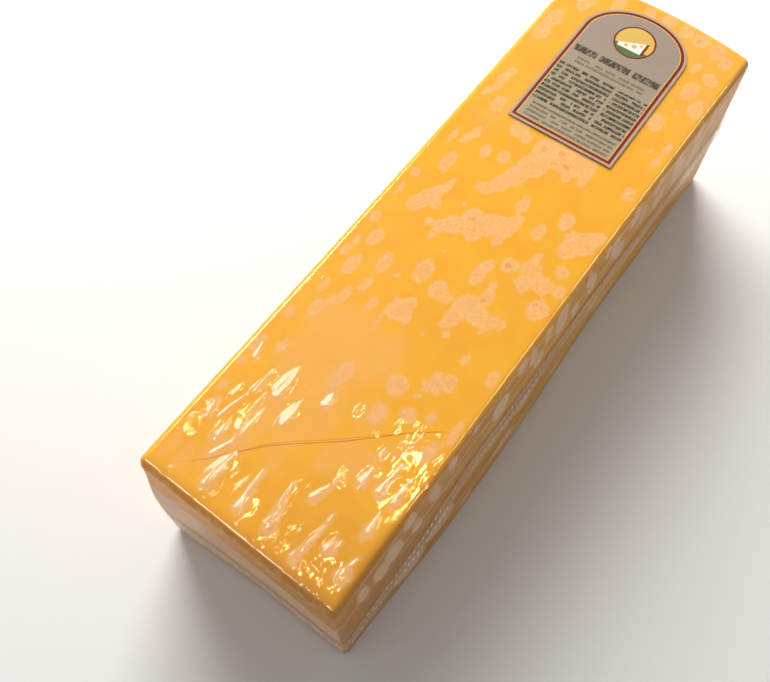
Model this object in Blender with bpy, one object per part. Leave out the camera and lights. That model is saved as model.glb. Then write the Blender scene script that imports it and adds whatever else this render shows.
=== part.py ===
"""A loaf of cheddar, about 2.3 kg, in tight clear film, with a paper label on its top face.

Metres, +Z up. The loaf lies on its base. The origin is on the table under its middle, +Y runs along
it to the far end, where the label is, and +X is its right side.
"""

import math

import bmesh
import bpy

# The loaf in its film
LENGTH = 0.292
WIDTH = 0.088
HEIGHT = 0.084
EDGE_RADIUS = 0.0032
EDGE_STEPS = 3
FAR_CROWN = 0.004        # how far the middle of the far end stands out past its corners
NEAR_SKEW = 0.0015       # how far the near end's left corner is set back
WAIST = 0.0007           # how far each long side is drawn in at the middle of its length

# The long sides swell at their foot, most of all towards the near end
BELLY = 0.0032
BELLY_HEIGHT = 0.046
BELLY_NEAR = -0.145
BELLY_NEAR_RISE = 0.070
BELLY_FAR = 0.055
BELLY_FAR_RISE = 0.100

# The film flares out at the near left corner, below the top edge
EAR = 0.0026
EAR_REACH = 0.030
EAR_DEPTH = 0.045        # how far below the top it has its full size
EAR_SEAM_LOSS = 0.65     # how much flatter the seam lies on it

# Spacing of the grid that the faces are cut to
GRID_ACROSS = 0.0065
GRID_ALONG = 0.0085
GRID_UP = 0.0095
FINE_ALONG = 0.0032
FINE_ACROSS = 0.0024
LOOSE_LENGTH = 0.062     # the stretch at the near end where the film stands off the cheese

# The heat-sealed seam of the film, pressed flat round all four sides
SEAM_HEIGHT = 0.042
SEAM_WIDTH = 0.008
SEAM_PROUD = 0.0013
SEAM_SLOPE = 0.0009
SEAM_DROP = 0.015        # how far the seam runs down towards the near end
SEAM_DROP_START = -0.055
SEAM_DROP_LENGTH = 0.050
SEAM_WANDER = 0.0016

# Folds in the loose film, as (across, along, length, width, height) in metres
FOLDS = (
    (-0.0205, -0.1230, 0.034, 0.0065, 0.0014),
    (-0.0270, -0.1130, 0.030, 0.0050, 0.0011),
    (-0.0150, -0.1310, 0.017, 0.0040, 0.0008),
    (-0.0055, -0.1300, 0.021, 0.0050, 0.0012),
    (0.0060, -0.1280, 0.024, 0.0055, 0.0013),
    (0.0160, -0.1160, 0.018, 0.0050, 0.0011),
    (0.0220, -0.1310, 0.025, 0.0055, 0.0013),
    (0.0300, -0.1340, 0.018, 0.0050, 0.0009),
    (0.0320, -0.0970, 0.021, 0.0055, 0.0010),
    (0.0235, -0.0990, 0.018, 0.0040, 0.0009),
    (-0.0125, -0.1010, 0.016, 0.0045, 0.0009),
    (-0.0220, -0.0950, 0.018, 0.0055, 0.0009),
    (-0.0350, -0.1160, 0.015, 0.0045, 0.0009),
)

# The crease that crosses the top askew; on its near side the film stands off the cheese
CREASE_START = (-0.030, -0.137)
CREASE_END = (0.037, -0.0715)
CREASE_RISE = 0.0006
CREASE_RAMP = 0.006

# The label, from its square foot to the top of its arch
LABEL_WIDTH = 0.048
LABEL_STRAIGHT = 0.061
LABEL_ARCH = 0.0195
LABEL_CORNER = 0.0008
LABEL_THICKNESS = 0.0004
LABEL_FOOT = (0.0005, 0.0565)
LABEL_TURN = math.radians(1.0)
ARCH_POINTS = 28
GAP = 0.0003

CHEESE_COLOUR = (0.86, 0.45, 0.06, 1.0)
LABEL_COLOUR = (0.55, 0.49, 0.42, 1.0)


def clear_scene():
    for item in list(bpy.data.objects):
        bpy.data.objects.remove(item, do_unlink=True)


def new_collection(name):
    group = bpy.data.collections.new(name)
    bpy.context.scene.collection.children.link(group)
    return group


def move_to(item, group):
    for holder in list(item.users_collection):
        holder.objects.unlink(item)
    group.objects.link(item)


def new_material(name, colour, roughness):
    material = bpy.data.materials.new(name)
    material.use_nodes = True
    shader = material.node_tree.nodes["Principled BSDF"]
    shader.inputs["Base Color"].default_value = colour
    shader.inputs["Roughness"].default_value = roughness
    shader.inputs["Metallic"].default_value = 0.0
    return material


def smooth_step(t):
    t = min(max(t, 0.0), 1.0)
    return t * t * (3.0 - 2.0 * t)


def evenly(start, end, spacing):
    """Places between two ends, no further apart than the spacing, with both ends."""
    steps = max(1, math.ceil((end - start) / spacing))
    return [start + (end - start) * i / steps for i in range(steps + 1)]


def cut(bm, normal, place, faces=None):
    """Cuts the faces, or the whole mesh, by a plane at this distance from the origin."""
    chosen = list(bm.faces) if faces is None else faces
    edges = {edge for face in chosen for edge in face.edges}
    verts = {vert for face in chosen for vert in face.verts}
    point = [component * place for component in normal]
    bmesh.ops.bisect_plane(bm, geom=list(verts) + list(edges) + chosen, dist=1e-6, plane_co=point, plane_no=normal)


def cut_grid(bm):
    """Cuts the rounded box finely enough to take the seam, the crowned end and the folds."""
    half_width = WIDTH / 2 - EDGE_RADIUS
    half_length = LENGTH / 2 - EDGE_RADIUS
    for x in evenly(-half_width, half_width, GRID_ACROSS)[1:-1]:
        cut(bm, (1, 0, 0), x)
    loose_end = -LENGTH / 2 + LOOSE_LENGTH
    for y in evenly(-half_length, loose_end, FINE_ALONG)[1:]:
        cut(bm, (0, 1, 0), y)
    for y in evenly(loose_end, half_length, GRID_ALONG)[1:-1]:
        cut(bm, (0, 1, 0), y)
    seam_low = SEAM_HEIGHT - SEAM_WIDTH / 2
    seam_high = SEAM_HEIGHT + SEAM_WIDTH / 2
    levels = evenly(EDGE_RADIUS, seam_low - SEAM_SLOPE, GRID_UP)[1:]
    levels += evenly(seam_low, seam_high, SEAM_WIDTH / 2)
    levels += evenly(seam_high + SEAM_SLOPE, HEIGHT - EDGE_RADIUS, GRID_UP)[:-1]
    for z in levels:
        cut(bm, (0, 0, 1), z)
    for x in evenly(-half_width, half_width, FINE_ACROSS)[1:-1]:
        top = [f for f in bm.faces if f.normal.z > 0.99 and f.calc_center_median().y < loose_end]
        cut(bm, (1, 0, 0), x, top)


def seam_lift(y):
    """How far the seam stands above its usual height at this place along the loaf."""
    drop = SEAM_DROP * smooth_step((SEAM_DROP_START - y) / SEAM_DROP_LENGTH)
    return SEAM_WANDER * math.sin(y / 0.021) - drop


def ear_share(x, y):
    """Share of the film's flare at this place: 1 at the near left corner, fading away from it."""
    away = math.hypot(x + WIDTH / 2, y + LENGTH / 2)
    return math.exp(-(away / EAR_REACH) ** 2)


def press_seam(bm):
    """Stands the seam out from the sides, then leads it up and down along the loaf."""
    bm.normal_update()
    half_seam = SEAM_WIDTH / 2
    for vert in bm.verts:
        off = abs(vert.co.z - SEAM_HEIGHT) - half_seam
        if off < SEAM_SLOPE / 2:
            outward = vert.normal.copy()
            outward.z = 0.0
            if outward.length > 0.5:
                vert.co += outward.normalized() * SEAM_PROUD * (1.0 - EAR_SEAM_LOSS * ear_share(vert.co.x, vert.co.y))
    for vert in bm.verts:
        z = vert.co.z
        share = z / SEAM_HEIGHT if z < SEAM_HEIGHT else (HEIGHT - z) / (HEIGHT - SEAM_HEIGHT)
        edge = min(1.0, max(0.0, min(z, HEIGHT - z) - EDGE_RADIUS) / EDGE_RADIUS)
        vert.co.z += seam_lift(vert.co.y) * share * edge


def belly(y, z):
    """How far a long side swells at this place along it and height."""
    along = smooth_step((y - BELLY_NEAR) / BELLY_NEAR_RISE) * smooth_step((BELLY_FAR - y) / BELLY_FAR_RISE)
    return BELLY * along * smooth_step((BELLY_HEIGHT - z) / (BELLY_HEIGHT - EDGE_RADIUS))


def shape_plan(bm):
    """Crowns the far end, sets back one near corner, draws in the long sides and swells their foot."""
    for vert in bm.verts:
        flare = EAR * ear_share(vert.co.x, vert.co.y) * smooth_step((HEIGHT - vert.co.z) / EAR_DEPTH)
        vert.co.x += belly(vert.co.y, vert.co.z) * vert.co.x / (WIDTH / 2) - flare
        vert.co.y -= flare
        along = vert.co.y / (LENGTH / 2)
        across = vert.co.x / (WIDTH / 2)
        if along > 0:
            vert.co.y -= FAR_CROWN * across * across * smooth_step(along)
        else:
            vert.co.y += NEAR_SKEW * smooth_step(-along) * (1.0 - across) / 2
        vert.co.x -= WAIST * across * max(0.0, 1.0 - along * along)


def crease_height(x, y):
    """The low step at the crease, fading out along it towards both ends."""
    run = (CREASE_END[0] - CREASE_START[0], CREASE_END[1] - CREASE_START[1])
    length = math.hypot(*run)
    along = ((x - CREASE_START[0]) * run[0] + (y - CREASE_START[1]) * run[1]) / length
    aside = ((x - CREASE_START[0]) * run[1] - (y - CREASE_START[1]) * run[0]) / length
    fade = smooth_step(along / (length / 4)) * smooth_step((length - along) / (length / 4))
    ramp = smooth_step(aside / CREASE_RAMP + 0.5) * smooth_step(3.0 - aside / CREASE_RAMP)
    return CREASE_RISE * ramp * fade


def fold_height(x, y):
    """Height of the loose film above the flat top: the highest fold that crosses this place."""
    height = crease_height(x, y)
    for across, along, length, width, rise in FOLDS:
        u = abs(y - along) / (length / 2)
        v = (x - across) / (width / 2)
        if u < 1.0:
            height = max(height, rise * (1.0 - u * u) * math.exp(-v * v))
    return height


def raise_folds(bm):
    for vert in bm.verts:
        if vert.co.z > HEIGHT - 1e-5:
            vert.co.z += fold_height(vert.co.x, vert.co.y)


def stand_on_origin(bm):
    """Moves the mesh so that its box stands centred on the origin."""
    middles = []
    for axis in (0, 1):
        values = [vert.co[axis] for vert in bm.verts]
        middles.append((min(values) + max(values)) / 2)
    for vert in bm.verts:
        vert.co.x -= middles[0]
        vert.co.y -= middles[1]


def make_block(group):
    bpy.ops.mesh.primitive_cube_add(size=1.0, location=(0.0, 0.0, 0.0))
    block = bpy.context.object
    block.name = "wrapped_block"
    move_to(block, group)
    bm = bmesh.new()
    bm.from_mesh(block.data)
    for vert in bm.verts:
        vert.co.x *= WIDTH
        vert.co.y *= LENGTH
        vert.co.z = (vert.co.z + 0.5) * HEIGHT
    bmesh.ops.bevel(bm, geom=list(bm.edges), offset=EDGE_RADIUS, segments=EDGE_STEPS, profile=0.5, affect="EDGES")
    cut_grid(bm)
    press_seam(bm)
    raise_folds(bm)
    shape_plan(bm)
    stand_on_origin(bm)
    bm.normal_update()
    bm.to_mesh(block.data)
    bm.free()
    block.data.shade_smooth()
    block.data.set_sharp_from_angle(angle=math.radians(40))
    block.data.materials.append(new_material("cheddar in film", CHEESE_COLOUR, 0.35))
    return block


def label_outline():
    """The label's edge, anticlockwise from the foot's left corner, with the foot on y = 0."""
    half = LABEL_WIDTH / 2
    points = [(-half, LABEL_CORNER), (-half + LABEL_CORNER, 0.0), (half - LABEL_CORNER, 0.0), (half, LABEL_CORNER)]
    for i in range(ARCH_POINTS + 1):
        angle = math.pi * i / ARCH_POINTS
        points.append((half * math.cos(angle), LABEL_STRAIGHT + LABEL_ARCH * math.sin(angle)))
    return points


def make_label(group):
    curve = bpy.data.curves.new("label", "CURVE")
    curve.dimensions = "2D"
    curve.fill_mode = "BOTH"
    curve.extrude = LABEL_THICKNESS / 2
    points = label_outline()
    spline = curve.splines.new("POLY")
    spline.points.add(len(points) - 1)
    for point, (x, y) in zip(spline.points, points):
        point.co = (x, y, 0.0, 1.0)
    spline.use_cyclic_u = True
    label = bpy.data.objects.new("label", curve)
    label.location = (LABEL_FOOT[0], LABEL_FOOT[1], HEIGHT + GAP + LABEL_THICKNESS / 2)
    label.rotation_euler = (0.0, 0.0, LABEL_TURN)
    curve.materials.append(new_material("label paper", LABEL_COLOUR, 0.5))
    group.objects.link(label)
    return label


clear_scene()
loaf = new_collection("cheddar block")
make_block(loaf)
make_label(loaf)
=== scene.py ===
"""A loaf of orange cheddar in tight clear film, with a sealed seam round its sides and a paper label."""

import math
import random
import bpy
from mathutils import Matrix, Quaternion, Vector, noise


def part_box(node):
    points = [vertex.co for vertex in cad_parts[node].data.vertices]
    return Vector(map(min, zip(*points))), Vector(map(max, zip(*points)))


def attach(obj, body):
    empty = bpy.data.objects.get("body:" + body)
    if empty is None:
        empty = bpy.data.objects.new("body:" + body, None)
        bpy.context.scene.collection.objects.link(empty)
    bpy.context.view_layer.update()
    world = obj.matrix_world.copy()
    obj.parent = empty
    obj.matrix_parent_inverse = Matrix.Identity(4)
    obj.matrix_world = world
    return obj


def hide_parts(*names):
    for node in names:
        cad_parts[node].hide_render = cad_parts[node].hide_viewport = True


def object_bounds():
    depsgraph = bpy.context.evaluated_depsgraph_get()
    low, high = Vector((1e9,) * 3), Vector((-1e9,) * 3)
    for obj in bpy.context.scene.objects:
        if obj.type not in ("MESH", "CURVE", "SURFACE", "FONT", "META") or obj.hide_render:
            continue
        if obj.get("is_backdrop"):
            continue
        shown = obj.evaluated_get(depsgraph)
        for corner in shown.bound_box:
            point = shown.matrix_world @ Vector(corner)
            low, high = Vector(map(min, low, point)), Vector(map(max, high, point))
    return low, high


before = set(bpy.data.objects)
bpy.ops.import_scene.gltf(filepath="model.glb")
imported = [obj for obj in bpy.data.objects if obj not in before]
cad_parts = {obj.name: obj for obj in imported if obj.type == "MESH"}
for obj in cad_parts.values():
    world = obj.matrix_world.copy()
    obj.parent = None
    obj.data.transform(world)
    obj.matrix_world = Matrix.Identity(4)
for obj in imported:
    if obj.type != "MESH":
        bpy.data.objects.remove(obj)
cad_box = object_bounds()
MM = 0.001
# The vector noise would start from the time of day, so it's given a seed
noise.seed_set(4)

# The camera is held 40 cm above the table, just outside the loaf's near right corner. It looks down
# and along the top, and is turned a degree.
CAMERA_PLACE = Vector((0.0884, -0.1741, 0.3844))
CAMERA_AIM = Vector((-0.0018, -0.0572, 0.084))
CAMERA_ROLL = math.radians(-1.07)
CAMERA_LENS = 43.3

bpy.ops.object.camera_add(location=CAMERA_PLACE)
camera = bpy.context.object
camera.name = "camera"
camera.data.lens = CAMERA_LENS
camera.data.sensor_width = 36.0
camera.data.clip_start = 0.01
aim = (CAMERA_AIM - CAMERA_PLACE).to_track_quat("-Z", "Y")
camera.rotation_euler = (aim @ Quaternion((0.0, 0.0, 1.0), CAMERA_ROLL)).to_euler()
bpy.context.scene.camera = camera
bpy.context.scene.view_settings.view_transform = "Standard"


# The cheese: a loaf of annatto cheddar that a wire has cut, so its faces are flat, its edges a little
# soft, and its far end bows out. Where the film clings wet the colour is deep, and where air has crept
# in between it is pale and dry, in round and ragged patches.
FILM_GAP = 0.25 * MM
EDGE_RADIUS = 3.2 * MM
FAR_CROWN = 4.0 * MM
NEAR_SKEW = 1.5 * MM
WAIST = 0.7 * MM
BELLY = 3.14 * MM
EAR = 2.6 * MM
EAR_REACH = 30 * MM
EAR_DEPTH = 45 * MM
EAR_CALM = 0.65
SHOULDER = 0.9 * MM
SHOULDER_WIDTH = 6.5 * MM
HALF_WIDTH = 44 * MM
HALF_LENGTH = 146 * MM
RECENTRED = Vector((0.19, 0.13, 0.0)) * MM
label_low, label_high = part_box("label")
HEIGHT = label_low.z - 0.3 * MM
CELL = 9.8 * MM
CELL_CUTS = 5
TOUCH = 0.01 * MM
# The loose film's stretch starts and is at its full at these places along the loaf, in mm
LOOSE_FROM, LOOSE_FULL = -52.0, -80.0
# The film clings to the near face only above this height, in mm, which falls a little to the right
WET_FOOT, WET_FALL = 64, 0.08
# The seam sways by this much over its length, and drops towards the near end, in mm
SEAM_HEIGHT = 42.0
SEAM_SWAY, SEAM_SWAY_RUN = 1.6, 21.0
SEAM_DROP, SEAM_DROP_FROM, SEAM_DROP_RUN = 15.0, -55.0, 50.0

# Patches on the top, as along, across, half length, half width and turn, in mm and degrees
TOP_PATCHES = (
    # beside the crease and before it
    (-80, -7, 3.9, 2.9, 0), (-75, -6, 3.9, 2.9, 0), (-69, 12, 4.7, 3.9, 0), (-76, 22, 3.5, 2.9, 0),
    (-72, 29, 2.5, 1.8, 0), (-68, 20, 1.4, 1.0, 0), (-82, 13, 4.3, 2.9, 0), (-88, -4, 4.1, 2.0, 0),
    (-86, -39, 4.1, 2.4, 0), (-82, -31, 3.5, 2.0, 0), (-95, -39, 2.4, 1.6, 0), (-106, -38, 2.4, 1.2, 0),
    (-113, -36, 2.9, 2.0, 0), (-69, -38, 2.9, 2.0, 0), (-83, 36, 5, 2.6, 0), (-72, 39, 5, 1.8, 0),
    (-103, 37, 4, 2.0, 0), (-116, 35, 4.4, 2.2, 0), (-133, 38, 4.4, 2.4, 0), (-128, 29, 4.2, 2.2, 0),
    (-62, -31, 4.9, 2.5, 0), (-51, -26, 4.3, 1.6, 0), (-55, -28, 2.0, 1.2, 0), (-43, -22, 3.5, 1.8, 0),
    (-48, -15, 3.3, 1.8, 0), (-44, -6, 4.8, 3.9, 0), (-40, -4, 3.3, 2.5, 0), (-46, -1, 2.6, 1.7, 0),
    (-53, -9, 3.6, 0.6, 0), (-47, 7, 1.4, 1.0, 0), (-60, 23, 4.6, 2.4, -28), (-57, 27, 3.4, 2.8, -20),
    (-63, 20, 2.6, 1.3, -30), (-46, 26, 2.4, 1.4, 0), (-47, 38, 3.8, 2, 0), (-33, 24, 1.9, 1.3, 0),
    (-42, 14, 1.8, 1.2, 0), (-33, -15, 1.4, 1.2, 0), (-31, -22, 5.2, 2.6, 0), (-39, -32, 5.2, 2.8, 0),
    (-35, -38, 3.0, 1.7, 0), (-29, -37, 2.4, 1.4, 0), (-24, -32, 4.3, 2.8, 0), (-16, -38, 2.8, 2.0, 0),
    (-53, -35, 3.6, 1.4, 0),
    # the star, a body with four arms
    (-29, 1, 4.3, 3.5, 0), (-30, 6, 2.6, 1.9, 0), (-16, 17, 3.4, 1.8, 0), (-21, 18, 3.9, 2.6, 0),
    (-28, 14, 5.4, 4.8, 0), (-35, 12, 4.2, 3.0, 0), (-29, 20, 4.4, 3.4, 0), (-28, 25, 3.0, 1.9, 0),
    (-27, 29, 2.4, 1.3, 0), (-39, 11, 1.9, 1.4, 0),
    # round it
    (-25, -8, 5.6, 3.4, 0), (-9, 10, 3.5, 2.2, 0), (-15, 10, 4.1, 2.6, 0), (-4, 17, 3.7, 3.2, 0),
    (-1, 25, 4.8, 4.2, 0), (-7, 26, 4.4, 3.2, 0), (-4, 32, 4.0, 3.2, 0), (6, 24, 2.6, 1.6, 0),
    (5, 35, 3.3, 2.4, 0), (-3, 38, 2.8, 2.2, 0), (-14, 36, 5.0, 3.9, 0), (15, 31, 5.0, 3.6, 0),
    (21, 35, 5.8, 4.6, 0), (20, 29, 3.2, 1.8, 0), (26, 38, 3.2, 3.0, 0), (-13, -7, 0.9, 0.6, 0),
    (0, -38, 3.4, 1.2, 0),
    # the big ragged one between the star and the label, and the one to its left
    (-6, -20, 2.0, 1.5, 0), (-5, -15, 3.4, 2.8, 0), (-11, -15, 2.2, 1.5, 0), (-2, -11, 4.2, 3.8, 0),
    (6, -7, 4.4, 3.6, 0), (1, -3, 5.4, 3.8, 0), (7, 1, 5.6, 4.4, 0), (10, 6, 4.4, 4.2, 0),
    (15, 8, 3.0, 2.2, 0), (3, 7, 3.4, 2.0, 0), (9, -13, 1.4, 1.1, 0), (-2, -29, 3.8, 3.0, 0),
    (2, -27, 4.4, 3.2, 0), (7, -25, 4.4, 2.8, 0), (2, -22, 3.0, 2.0, 0), (13, -23, 3.8, 1.6, 5),
    (22, 6, 4.0, 2.6, 0), (25, 24, 4.8, 2.8, 0), (15, 18, 3.7, 2.6, 0), (22, -30, 5.8, 2.6, 0),
    (10, -38, 2.4, 2.0, 0),
    # the tongue that runs out from under the label's foot, and the patches beside the label
    (49, 1, 7.2, 7.0, 0), (40, -1, 6.0, 6.0, 0), (32, -4, 5.0, 4.8, 0), (25, -7, 3.9, 3.8, 0),
    (20, -10, 2.8, 2.6, 0), (20, -13, 1.6, 1.2, 0), (50, 9, 6.0, 5.5, 0), (53, 15, 6.6, 5.5, 0),
    (44, 13, 3.6, 2.0, 0), (47, 19, 5.0, 1.8, 0), (35, -36, 3.4, 1.3, 0), (36, -31, 2.4, 1.7, 0),
    (41, -29, 3.2, 1.8, 0), (35, -21, 3.7, 2.1, 0), (37, -13, 3.6, 2.5, 0), (53, -16, 5.4, 3.8, 0),
    (50, -11, 3.0, 2.2, 0), (59, -30, 4.7, 2.8, 0), (62, -38, 3.4, 1.2, 0), (66, -36, 2.5, 1.7, 0),
    (72, -36, 3.4, 2.3, 0), (77, -35, 2.9, 1.8, 0), (105, -37, 5.2, 3.4, 0), (115, -37, 5.6, 3.6, 0),
    (51, 37, 3.8, 2.4, 0), (71, 38, 3.8, 1.6, 0), (80, 38, 3.8, 1.6, 0), (75, 33, 1.0, 0.8, 0),
    (89, 28, 4.6, 3.0, 0), (89, 24, 2.0, 1.4, 0), (99, 32, 1.5, 1.1, 0), (102, 27, 1.2, 0.9, 0),
    (106, 38, 5.2, 3.2, 0), (109, 30, 2.7, 1.8, 0), (113, 31, 4.6, 2.9, 0), (123, 35, 4.0, 3.2, 0),
    (125, 27, 3.2, 1.8, 0), (135, 36, 3.8, 2.8, 0), (138, 30, 4.6, 3.2, 0), (139, 22, 4.4, 3.6, 0),
    (139, 14, 3.6, 3.4, 0), (140, 5, 3.4, 3.4, 0), (140, -4, 2.9, 2.6, 0), (136, -18, 5.6, 2.7, 0),
    (130, -30, 6.0, 3.4, 0),
)
# Wide stretches at the near end where the film clings only by halves, as along, across and half sizes
MIST = (
    (-61, -24, 9, 7), (-62, -12, 13, 9), (-62, 2, 11, 7), (-77, -21, 15, 10), (-76, -8, 15, 11),
    (-91, -18, 13, 8), (-94, -3, 11, 7), (-102, -17, 11, 6), (-116, -20, 13, 5), (-127, -24, 9, 4),
    (-107, -8, 9, 5), (-101, 15, 8, 9), (-100, 22, 7, 6), (-86, 28, 5, 4), (-107, 8, 5, 3),
    (-117, -6, 5, 3), (-134, -38, 5, 3), (-135, -31, 6, 3), (-84, 11, 7, 6), (52, 6, 12, 14),
    (135, 22, 10, 18), (110, 36, 12, 5), (56, -28, 12, 6), (112, -38, 12, 4),
)
# Folds of loose film, from the narrow end to the wide one, as along and across, with half width and height
FOLDS = (
    (-123, -17, -137, -19, 3.2, 0.3), (-122, -6, -137, -4, 2.9, 0.5), (-118, 5, -136, 8, 2.9, 0.4),
    (-109, 17, -119, 14, 2.3, 0.4), (-119, 23, -139, 21, 2.3, 0.4), (-125, 28, -130, 29, 2.0, 0.3),
    (-126, 38, -134, 37, 2.4, 0.5), (-109, 35, -117, 36, 2.2, 0.5), (-94, 37, -104, 37, 1.8, 0.3),
    (-91, 31, -104, 31, 2.2, 0.5), (-99, 24, -105, 24, 2.1, 0.3), (-89, 23, -94, 23, 1.7, 0.3),
    (-95, -13, -105, -12, 2.0, 0.2), (-88, -21, -98, -20, 2.2, 0.2), (-101, -24, -121, -21, 1.5, 0.2),
    (-114, -27, -123, -27, 1.9, 0.2), (-93, -27, -101, -28, 1.8, 0.15),
    (-112, -36, -118, -35, 1.9, 0.2), (-85, -37, -91, -36, 1.5, 0.3), (-86, -3, -91, -4, 1.7, 0.15),
    (-116, -20, -128, -24, 1.5, 0.3), (-104, -29, -116, -31, 1.2, 0.2),
)
# Patches on the right side, as along, up and the same sizes
RIGHT_PATCHES = (
    (-131, 66, 3, 12, 6), (-121, 62, 4, 12, 8), (-113, 66, 5, 13, 10), (-104, 77, 3.4, 8, 10),
    (-99, 58, 3, 9, 8), (-89, 69, 3.4, 12, 12), (-78, 76, 3.0, 8, 10), (-64, 79, 2.0, 4, 0),
    (-46, 64, 5.4, 12, 10), (-34, 79, 3.0, 8, 12), (-25, 72, 2.6, 11, 14), (-18, 58, 3.2, 7, 12),
    (-16, 76, 2.6, 9, 12), (-5, 70, 4.4, 16, 12), (8, 60, 2.4, 8, 14), (14, 75, 2.6, 8, 14),
    (20, 64, 3.2, 11, 14), (27, 78, 2.4, 6, 14), (35, 72, 3.2, 10, 14), (43, 60, 3.8, 9, 16),
    (50, 76, 4.2, 8, 12), (60, 66, 2.8, 9, 14), (68, 77, 3.4, 6, 10), (77, 58, 4.6, 9, 14),
    (86, 74, 3, 8, 14), (93, 62, 4.4, 11, 12), (104, 76, 3.4, 7, 12), (111, 57, 6, 11, 10),
    (120, 70, 4, 10, 12), (130, 62, 5, 12, 12), (-84, 21, 9, 6, 0), (-105, 16, 10, 8, 0),
    (-40, 16, 9, 3, 0), (5, 14, 7, 2.4, 0), (48, 15, 10, 3, 0), (88, 14, 7, 2.6, 0), (125, 17, 9, 3, 0),
    (-68, 9, 6, 2, 0), (-24, 27, 6, 2.4, 0), (30, 26, 8, 2.4, 0), (70, 28, 7, 2.2, 0),
)


def mirrored(patches, seed):
    """The patches of the other side: the same kinds, run the other way and shuffled a little."""
    rng = random.Random(seed)
    moved = []
    for along, up, half_along, half_up, turn in patches:
        along = -along + rng.uniform(-7, 7)
        up += rng.uniform(-3, 3)
        moved.append((along, up, half_along * rng.uniform(0.7, 1.3), half_up, -turn))
    return tuple(moved)


def strewn(seed):
    """Round patches over the base, where the loaf's weight has pressed the film to it elsewhere."""
    rng = random.Random(seed)
    patches = []
    for _ in range(70):
        size = rng.uniform(1.6, 6)
        long_size = size * rng.uniform(1, 2)
        patches.append((rng.uniform(-136, 136), rng.uniform(-38, 38), long_size, size, rng.uniform(-30, 30)))
    return tuple(patches)


def by_stretch(patches):
    """The patches sorted into 10 mm stretches of the loaf, each with all that reach into it."""
    stretches = {}
    for patch in patches:
        reach = max(patch[2], patch[3]) + 4
        for number in range(int((patch[0] - reach) // 10), int((patch[0] + reach) // 10) + 1):
            stretches.setdefault(number, []).append(patch)
    return stretches


ON_TOP = by_stretch(TOP_PATCHES)
ON_RIGHT = by_stretch(RIGHT_PATCHES)
ON_LEFT = by_stretch(mirrored(RIGHT_PATCHES, 8))
ON_BASE = by_stretch(strewn(5))


def smooth(t):
    t = min(max(t, 0.0), 1.0)
    return t * t * (3.0 - 2.0 * t)


def deepest(stretches, a, b):
    """How far inside the patches this place is, in mm, below zero outside them; near ones run together."""
    total = 0.0
    for along, across, half_a, half_b, turn in stretches.get(int(a // 10), ()):
        da, db = a - along, b - across
        if turn:
            cos, sin = math.cos(math.radians(turn)), math.sin(math.radians(turn))
            da, db = da * cos + db * sin, db * cos - da * sin
        reach = math.hypot(da / half_a, db / half_b)
        total += math.exp((1.0 - min(reach, 6.0)) * min(half_a, half_b) / 0.6)
    return 0.6 * math.log(total) if total > 1e-6 else -9.0


def fold_at(x, y):
    """How far inside a fold a place on the top is, in mm, and how high the fold stands there."""
    deep, height = -9.0, 0.0
    x += 0.9 * noise.noise(Vector((x / 9.0, y / 9.0, 7.0)))
    for y0, x0, y1, x1, wide, rise in FOLDS:
        length = math.hypot(x1 - x0, y1 - y0)
        t = ((x - x0) * (x1 - x0) + (y - y0) * (y1 - y0)) / length ** 2
        if -0.6 < t < 1.6:
            on_line = min(max(t, 0.0), 1.0)
            aside = ((x - x0) * (y1 - y0) - (y - y0) * (x1 - x0)) / length
            radius = wide * (0.3 + 0.7 * smooth(on_line))
            inside = radius - math.hypot(aside, (t - on_line) * length)
            deep = max(deep, inside)
            height = max(height, rise * (0.55 + 0.45 * on_line) * smooth(inside / radius))
    return deep, height


def lifted_at(place):
    """How far inside a patch of lifted film a place on the sharp box is, in mm, with ragged edges."""
    wobble = 0.8 * noise.noise_vector(place * 130) + 0.55 * noise.noise_vector(place * 420)
    x, y, z = place / MM + wobble
    if place.z > HEIGHT - TOUCH:
        depth = deepest(ON_TOP, y, x)
        if y < -75:
            depth = max(depth, fold_at(x, y)[0])
        rim = min(HALF_WIDTH / MM - abs(x), HALF_LENGTH / MM - abs(y)) - 2.6
    elif place.z < TOUCH:
        depth = deepest(ON_BASE, y, x)
        rim = min(HALF_WIDTH / MM - abs(x), HALF_LENGTH / MM - abs(y)) - 2.5
    elif abs(place.y) > HALF_LENGTH - TOUCH:
        depth = WET_FOOT - WET_FALL * (x + 42) - z
        rim = HALF_WIDTH / MM - abs(x) - 0.5
    else:
        depth = deepest(ON_RIGHT if x > 0 else ON_LEFT, y, z)
        rim = min(HEIGHT / MM - z - 1.0, z - 1.0)
    return min(depth, rim, 4.0)


def seam_lift(y):
    """How far the seam stands above its usual height at this place along the loaf, in mm."""
    sway = SEAM_SWAY * math.sin(y / SEAM_SWAY_RUN)
    return sway - SEAM_DROP * smooth((SEAM_DROP_FROM - y) / SEAM_DROP_RUN)


def misted_at(place):
    """How misty the film is at a place on the sharp box where it clings only by halves, from 0 to 1."""
    x, y, z = place / MM + 1.6 * noise.noise_vector(place * 110)
    if place.z > HEIGHT - TOUCH:
        total = 0.0
        for along, across, half_a, half_b in MIST:
            reach = ((y - along) / half_a) ** 2 + ((x - across) / half_b) ** 2
            if reach < 3.0:
                total += math.exp(-1.1 * reach * reach)
        return min(total, 1.0) * (1.0 if y < -30 else 0.55)
    if place.z < TOUCH:
        return 0.0
    return 0.75 * math.exp(-((z - SEAM_HEIGHT - seam_lift(y)) / 7.5) ** 2)


def belly(y, z):
    """How far a long side swells at its foot at this place along it and height."""
    along = smooth((y + 145 * MM) / (70 * MM)) * smooth((55 * MM - y) / (100 * MM))
    return BELLY * along * smooth((46 * MM - z) / (46 * MM - EDGE_RADIUS))


def ear_share(x, y):
    """Share of the flare at the near left corner: 1 in the corner, fading away from it."""
    return math.exp(-((x + HALF_WIDTH) ** 2 + (y + HALF_LENGTH) ** 2) / EAR_REACH ** 2)


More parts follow.
